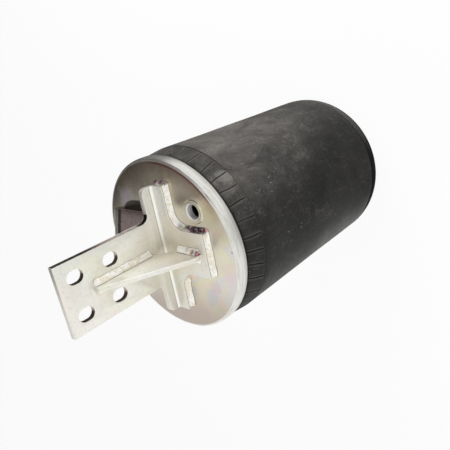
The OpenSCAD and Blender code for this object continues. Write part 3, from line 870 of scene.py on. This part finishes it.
class STAGE_PG_settings(bpy.types.PropertyGroup):
    """The view, the floor and the lamps."""

    view_angle: FloatProperty(
        name="View angle", description="Full angle that the camera takes in",
        subtype="ANGLE", min=0.1, max=2.0, default=math.radians(50.217),
    )
    camera_place: FloatVectorProperty(
        name="Camera place", description="Where the camera stands",
        subtype="TRANSLATION", size=3, default=(0.24037, -0.49472, 0.78716),
    )
    camera_turn: FloatVectorProperty(
        name="Camera turn", description="How the camera is turned",
        subtype="EULER", size=3, default=(-0.514704, 0.713395, -1.808232),
    )
    lamp_power: FloatProperty(
        name="Lamp power", description="Power of the large soft lamp",
        unit="POWER", min=0.0, max=200.0, default=18.0,
    )
    fill: FloatProperty(
        name="Fill light", description="Level of the even light from all round",
        min=0.0, max=2.0, default=0.42,
    )


# ---- stage


class STAGE_OT_build(bpy.types.Operator):
    """Set up the floor, the soft lamps and the camera"""

    bl_idname = "bellows.stage"
    bl_label = "Stage"

    def execute(self, context):
        wanted = context.scene.bellows_stage
        nothing_selected()
        bpy.ops.object.camera_add(location=wanted.camera_place, rotation=wanted.camera_turn)
        camera = context.object
        camera.name = "view"
        camera.data.angle = wanted.view_angle
        camera.data.clip_start = 0.01
        context.scene.camera = camera
        context.scene.view_settings.view_transform = "Standard"
        self.floor()
        self.sky(context, wanted.fill)
        self.lamp("overhead", (1.25, 0.15, 0.35), 0.8, wanted.lamp_power)
        self.lamp("front", (-0.35, -1.25, 0.75), 0.9, wanted.lamp_power * 0.5)
        return {"FINISHED"}

    def room(self, paint, way):
        """What the metal mirrors: a white table, a grey near side and a soft box overhead."""
        x, y, z = paint.axes(way)
        overhead = 0.85 * x - 0.30 * y - 0.43 * z
        near = 0.36 * x - 0.62 * y + 0.70 * z
        return paint.coats(
            (0.075, 0.066, 0.058),
            ((0.46, 0.45, 0.43), y.step(-0.05, -0.5)),
            (ROOM_WHITE, overhead.step(0.64, 0.80)),
            (ROOM_WHITE, z.step(0.82, 0.92)),
            (ROOM_PALE, near.step(0.84, 0.94)),
            (ROOM_PALE, (-1 * y).step(0.86, 0.95)),
            (ROOM_WHITE, (x + 0.07 * y).step(-0.14, -0.36)),
        )

    def rays(self, paint):
        """Rays from the camera, which meet plain white, and from metal, which meet the room."""
        path = paint.add("LightPath").outputs
        kinds = ("Camera", "Glossy", "Transmission")
        camera, glossy, through = (Field(paint, path[f"Is {kind} Ray"]) for kind in kinds)
        return camera, glossy.call("MAXIMUM", through)

    def floor(self):
        bpy.ops.mesh.primitive_plane_add(size=14.0, location=(0, 0, -0.0004))
        floor = bpy.context.object
        floor.name = "floor"
        paint = Paint("pale_floor")
        camera, glossy = self.rays(paint)
        matt = paint.field("BsdfDiffuse", None, {"Color": (0.93, 0.93, 0.92)})
        away = paint.place(origin=(0, 0, -0.35))
        away = paint.field("VectorMath", {"operation": "NORMALIZE"}, {0: away})
        seen = paint.mix(self.room(paint, away), (1, 1, 1), camera)
        glow = paint.field("Emission", None, {"Color": seen, "Strength": 1.0})
        share = camera * 0.92 + glossy
        mixed = paint.field("MixShader", None, {0: share, 1: matt, 2: glow})
        paint.add("OutputMaterial", None, {0: mixed})
        floor.data.materials.append(paint.owner)

    def sky(self, context, fill):
        world = bpy.data.worlds.new("soft_room")
        context.scene.world = world
        paint = Paint("soft_room", world)
        camera, glossy = self.rays(paint)
        room = self.room(paint, paint.field("TexCoord", output="Generated"))
        even, white, mirror = (
            paint.field("Background", None, {"Color": colour, "Strength": strength})
            for colour, strength in (((1, 1, 1), fill), ((1, 1, 1), 1.0), (room, 1.0))
        )
        inner = paint.field("MixShader", None, {0: glossy, 1: even, 2: mirror})
        outer = paint.field("MixShader", None, {0: camera, 1: inner, 2: white})
        paint.add("OutputWorld", None, {0: outer})

    def lamp(self, name, place, size, power):
        bpy.ops.object.light_add(type="AREA", location=place)
        lamp = bpy.context.object
        lamp.name = name
        lamp.visible_glossy = False
        lamp.data.shape = "DISK"
        lamp.data.size = size
        lamp.data.energy = power
        aim = Vector((0, 0, 0.3)) - Vector(place)
        lamp.rotation_euler = aim.to_track_quat("-Z", "Y").to_euler()


# ---- plated steel


class PLATE_OT_build(bpy.types.Operator):
    """Finish the stamped bead plate and its air port"""

    bl_idname = "bellows.bead_plate"
    bl_label = "Bead plate"

    def execute(self, context):
        wanted = context.scene.bellows_steel
        repaint("bead_plate", plate_zinc(tuple(wanted.plate_tone)))
        repaint("port_bush", port_zinc())
        return {"FINISHED"}


class BRACKET_OT_build(bpy.types.Operator):
    """Make the bent bracket and its three gussets with eased edges"""

    bl_idname = "bellows.bracket"
    bl_label = "Bracket and gussets"

    def execute(self, context):
        wanted = context.scene.bellows_steel
        pale = bracket_zinc(tuple(wanted.bracket_tone))
        # The ribs behind the arm take a zinc painted darker as shade
        brown = gusset_painted_shade_zinc()
        # Eased edges take a zinc painted bright as their highlight lines
        bright = edge_highlight_zinc()
        for node in ("bracket", "front_gusset", "rear_gusset_left", "rear_gusset_right"):
            rear = node.startswith("rear")
            width = wanted.edge * (0.5 if rear else 1.0)
            piece = eased_copy(node, width, (brown if rear else pale, bright))
            if rear:
                self.raise_rib(piece)
            dressed(piece, None, "plate", node)
            if node == "bracket":
                self.darken_cut_edges(piece, cut_zinc())
        return {"FINISHED"}

    def raise_rib(self, piece):
        """Brings the rib's upper corner to the height that it has along the arm's side."""
        points = read_points(piece)
        top = (points[:, 2] > GUSSET_TOP - 0.003) & (points[:, 1] < 0.009)
        points[top, 2] += RIB_LIFT
        write_points(piece, points)

    def darken_cut_edges(self, piece, cut):
        """Gives the arm's long edges and the walls of its slots the darker cut finish."""
        piece.data.materials.append(cut)
        for face in piece.data.polygons:
            x, z = face.center.x, face.center.z
            upright = abs(face.normal.y) < 0.3 and -0.0505 < x < 0.061
            if upright and SEAT_Z + 0.022 < z < ARM_TOP - 0.002:
                face.material_index = 2


class WELD_OT_build(bpy.types.Operator):
    """Lay the rippled weld beads round the foot and along the gussets"""

    bl_idname = "bellows.welds"
    bl_label = "Weld beads"

    def execute(self, context):
        bead = weld_zinc()
        for node, seams in (
            ("foot_welds", self.foot()),
            ("front_gusset_welds", self.front()),
            ("rear_gusset_welds", self.rear()),
        ):
            runs = [seam.bead(f"{node}_{i}", 3.7 * i + len(node)) for i, seam in enumerate(seams)]
            piece = joined(node + "_beads", runs)
            smooth(piece, 60)
            dressed(piece, bead, "plate", node)
        return {"FINISHED"}

    def foot(self):
        """Two runs round the foot and three behind the bend."""
        up, legs = (0, 0, 1), (6.5, 6.5)
        long_run = Seam((90, -3, 0), (1, 0, 0), up, legs).run(20).round((90, -23, 0), -90, 4)
        long_run.run(34).round((56, -48, 0), 90, 22).run(32).round((31, -80, 0), -90, 4).run(62)
        start = math.radians(50)
        reach = Vector((math.cos(start), math.sin(start), 0))
        short_run = Seam(Vector((-56, -48, 0)) + reach * 25, -reach, up, legs)
        short_run.round((-56, -48, 0), 40, 22).run(32)
        seams = [long_run, short_run]
        for start, length in ((-86, 33), (-33, 66), (53, 33)):
            seams.append(Seam((start, -2.5, 0), (0, 1, 0), up, (10, 6.5)).run(length))
        return seams

    def front(self):
        """On both sides of the gusset, along the arm and along the tab."""
        seams = []
        for side, arm_z, tab_y in ((1, 125, -30), (-1, 34, -71)):
            out = (side, 0, 0)
            seams.append(Seam((3 * side, -4, arm_z), out, (0, -1, 0), (8, 5.6)).run(91))
            seams.append(Seam((3 * side, tab_y, 8), out, (0, 0, 1), (8, 6.8)).run(41))
        return seams

    def rear(self):
        """Inside each rib, along plate and arm, and outside it behind the ear."""
        seams = []
        legs = (5, 5)
        for side, plate_y, arm_z, ear_z in ((1, 20, 68, 16), (-1, 99, 16, 28)):
            out, back = (side, 0, 0), (-side, 0, 0)
            seams.append(Seam((41 * side, plate_y, 0), back, (0, 0, 1), legs).run(79))
            seams.append(Seam((41 * side, 4, arm_z), back, (0, 1, 0), legs).run(52))
            seams.append(Seam((47 * side, 4, ear_z), out, (0, 1, 0), legs).run(12))
        return seams


class SLEEVE_OT_build(bpy.types.Operator):
    """Mould the pleated sleeve: outer wall, rolled fold and inner wall"""

    bl_idname = "bellows.sleeve"
    bl_label = "Sleeve"

    def execute(self, context):
        wanted = context.scene.bellows_sleeve
        rubber = sleeve_rubber("sleeve_rubber", 0.2)
        outer = self.outer(wanted)
        dressed(outer, rubber, None, "sleeve")
        outer.data.materials.append(sleeve_rubber("fold_rubber", 0.03))
        for face in outer.data.polygons:
            if face.center.z < FOLD_LINE:
                face.material_index = 1
        keep_rest(outer)
        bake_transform(outer)
        inner = self.inner(wanted)
        keep_rest(inner)
        dressed(inner, rubber, None, "sleeve")
        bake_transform(inner)
        return {"FINISHED"}

    def bow(self, x, z, rx, rz, start, end, count):
        """Points along part of an ellipse, 0 degrees at its outer side."""
        turns = [math.radians(start + (end - start) * i / count) for i in range(count + 1)]
        return [(x + rx * math.cos(t), z + rz * math.sin(t)) for t in turns]

    def fold(self, inset, start, end, count):
        """Points along the rolled fold, set in by part of the wall."""
        middle = (SLEEVE_R + PISTON_R + PISTON_GAP) / 2
        half = (SLEEVE_R - PISTON_R - PISTON_GAP) / 2 - inset
        return self.bow(middle, FOLD_MIDDLE, half, FOLD_DROP - inset, start, end, count)

    def outer(self, wanted):
        """The wall that shows: bead in the crimp, neck, cylinder and outer side of the fold."""
        wall = wanted.wall
        straight = SLEEVE_R - wall
        neck, crown, rise = 0.1174, 0.3881, 0.0071
        outside = [(neck, 0.3986)] + self.bow(neck, crown, rise, rise, 90, 0, 6)
        drop = crown - PLEAT_LOW
        outside += [(0.1246 + 0.0029 * i / 9, crown - drop * i / 9) for i in range(1, 9)]
        outside += [(SLEEVE_R - 0.0001, PLEAT_LOW + 0.0008), (SLEEVE_R - 0.0004, PLEAT_LOW)]
        outside += [(SLEEVE_R, PLEAT_LOW - 0.0008)]
        low = 0.0630
        outside += [(SLEEVE_R, PLEAT_LOW + (low - PLEAT_LOW) * (i / 22)) for i in range(1, 22)]
        outside += [(SLEEVE_R, 0.0640), (SLEEVE_R - 0.0006, 0.0625), (SLEEVE_R - 0.0002, 0.0612)]
        outside += self.fold(0, 0, SPLIT_OUTSIDE, 26)[1:]
        inside = self.fold(wall, SPLIT_INSIDE, 0, 12)
        inside += [(straight, 0.15), (straight, 0.26), (straight, PLEAT_LOW), (0.1200, crown)]
        inside += self.bow(neck - 0.003, crown + 0.001, rise - wall + 0.003, rise - wall, 0, 90, 3)
        top = SEAT_Z - 0.0033
        inside += [(0.108, 0.3995), (0.108, top - 0.004), (0.112, top), (0.1209, top)]
        inside += [(0.1213, top - 0.004), (0.1217, top - 0.008), (0.1217, 0.4), (0.1205, 0.3988)]
        piece = turned_shell("sleeve_outer_wall", outside + inside, wanted.pleats * PARTS)
        return self.pleated(piece, outside, wanted)

    def pleated(self, piece, outside, wanted):
        """Sets the creases at their uneven angles and sinks them, then lets the wall wander."""
        x, y, height = read_points(piece).T
        radius = np.hypot(x, y)
        turn = np.mod(np.arctan2(y, x), math.tau)
        steps = wanted.pleats * PARTS
        step = np.rint(turn / (math.tau / steps)).astype(int) % steps
        pleat, part = step // PARTS, step % PARTS
        following = (pleat + 1) % wanted.pleats
        first = part <= PARTS // 2
        owner = np.where(first, pleat, following)
        creases, lean = self.crease_angles(wanted.pleats)
        pitch = np.roll(creases, -1) - creases
        pitch[-1] += math.tau
        span = pitch[pleat] * SLEEVE_R
        places = np.where(first, part, PARTS - part)
        near = np.zeros(len(radius))
        for k, distance in enumerate(BY_THE_CREASE):
            near[places == k] = distance
        for k, share in enumerate(ALONG_THE_PLEAT, len(BY_THE_CREASE)):
            near[places == k] = share * span[places == k]
        side = np.where(first, 1.0, -1.0)
        last = ~first & (pleat == wanted.pleats - 1)
        base = creases[owner] + math.tau * last
        new_turn = base + side * near / SLEEVE_R - math.radians(CREASE_START)
        outline = np.array(outside)
        off = np.abs(radius[:, None] - outline[:, 0]) + np.abs(height[:, None] - outline[:, 1])
        skin = off.min(axis=1) < 0.00002
        banded = ramp(height - 0.3632, 0.003) * ramp(0.3975 - height, 0.003) * skin
        random.seed(11)
        strength = np.array([random.uniform(0.55, 1.0) for _ in creases])[owner]
        share = np.where(first, near, span - near) / span
        tilt = lean[pleat] * (1 - share) + lean[following] * share
        weave = 0.0003 * np.sin(height * 200 + owner * 2.1) / SLEEVE_R
        new_turn = new_turn + banded * (weave + tilt * (height - 0.379) / 0.031)
        groove = np.exp(-(near / 0.0006) ** 2) * wanted.crease * strength
        roll = 0.00035 * np.exp(-near / 0.0035) * (side > 0)
        sink = banded * (groove + roll + 0.0004 * np.exp(-near / 0.003))
        spots = turned_points(radius, new_turn, height)
        wander = np.array([noise.noise(Vector(p) * 14.0) for p in spots]) * 0.5 + 0.5
        wander = skin * 0.0007 * wander * ramp(0.36 - height, 0.03) * ramp(height - 0.05, 0.02)
        write_points(piece, turned_points(radius - sink - wander, new_turn, height))
        # Painted shade follows these values, darkest in each crease
        keep_value(piece, "crease", banded * np.exp(-(near / 0.0008) ** 2) * strength)
        # A painted highlight follows these values, a little way beside each crease
        ridge_highlight = np.exp(-((near - 0.0016) / 0.0008) ** 2)
        keep_value(piece, "ridge_highlight", banded * ridge_highlight * strength)
        smooth(piece, 75)
        return piece

    def crease_angles(self, count):
        """Middle angle and lean of each crease: as seen on the near side, even round the rest."""
        seen = [(a + b) / 2 for a, b in zip(CREASES_AT_RIM, CREASES_AT_LIP)]
        lean = [a - b for a, b in zip(CREASES_AT_RIM, CREASES_AT_LIP)]
        rest = count - len(seen)
        random.seed(5)
        free = 360 + seen[0] - seen[-1]
        places = [i + random.uniform(-0.14, 0.14) for i in range(1, rest + 1)]
        angles = seen + [seen[-1] + free * place / (rest + 1) for place in places]
        lean += [random.uniform(-4, 4) for _ in range(rest)]
        return np.radians(np.array(angles) + CREASE_START), np.radians(np.array(lean))

    def inner(self, wanted):
        """The wall inside: fold, run up the piston, shoulder and bead on the piston's neck."""
        wall = wanted.wall
        middle, shoulder, reach = 0.0755, 0.220, 0.0163
        skin = PISTON_R + PISTON_GAP
        section = self.fold(0, SPLIT_OUTSIDE, -180, 6)
        section += [(skin, 0.10), (skin, 0.15)]
        section += self.bow(middle, shoulder, reach, reach, 0, 90, 8)
        section += [(0.0628, 0.2363), (0.0628, 0.2537)]
        section += [(0.0750, 0.2537), (0.0770, 0.2517), (0.0770, 0.2420)]
        section += self.bow(middle, shoulder, reach + wall, reach + wall, 76, 0, 10)
        section += [(skin + wall, 0.15), (skin + wall, 0.10)]
        section += self.fold(wall, -180, SPLIT_INSIDE, 6)
        piece = turned_shell("sleeve_inner_wall", section, 160)
        smooth(piece, 50)
        return piece


class PISTON_OT_build(bpy.types.Operator):
    """Finish the piston, its base, the bead clamp and the buffer"""

    bl_idname = "bellows.piston"
    bl_label = "Piston and inner parts"

    def execute(self, context):
        bare = plain_finish("bolt_zinc", (0.60, 0.60, 0.57), 0.9, 0.26)
        moulded = plain_finish("buffer_rubber", (0.026, 0.026, 0.026), 0.0, 0.62, 90.0, 0.0004)
        wire = plain_finish("bead_wire", (0.48, 0.34, 0.22), 0.9, 0.34)
        for material, nodes in (
            (piston_paint(), "piston_shell piston_base base_welds"),
            (bare, "base_nuts centre_post clamp_disc clamp_bolt clamp_washer buffer_insert"),
            (moulded, "buffer"),
            (wire, "upper_bead_ring lower_bead_ring"),
        ):
            for node in nodes.split():
                repaint(node, material)
        return {"FINISHED"}


# ---- panel and run


class BELLOWS_PT_panel(bpy.types.Panel):
    """Lists the pieces in the order in which they are made"""

    bl_label = "Air spring bellows"
    bl_idname = "BELLOWS_PT_panel"
    bl_space_type = "VIEW_3D"
    bl_region_type = "UI"
    bl_category = "Bellows"

    def draw(self, context):
        for steps in STEPS:
            self.layout.operator(steps.bl_idname)


STEPS = (
    STAGE_OT_build, PLATE_OT_build, BRACKET_OT_build,
    WELD_OT_build, SLEEVE_OT_build, PISTON_OT_build,
)
SETTINGS = {
    "bellows_steel": STEEL_PG_settings,
    "bellows_sleeve": SLEEVE_PG_settings,
    "bellows_stage": STAGE_PG_settings,
}


def register():
    for kind in (*SETTINGS.values(), *STEPS, BELLOWS_PT_panel):
        bpy.utils.register_class(kind)
    for name, kind in SETTINGS.items():
        setattr(bpy.types.Scene, name, PointerProperty(type=kind))


def unregister():
    for name in SETTINGS:
        delattr(bpy.types.Scene, name)
    for kind in reversed((*SETTINGS.values(), *STEPS, BELLOWS_PT_panel)):
        bpy.utils.unregister_class(kind)


def main():
    register()
    bpy.ops.bellows.stage()
    bpy.ops.bellows.bead_plate()
    bpy.ops.bellows.bracket()
    bpy.ops.bellows.welds()
    bpy.ops.bellows.sleeve()
    bpy.ops.bellows.piston()


if __name__ == "__main__":
    main()
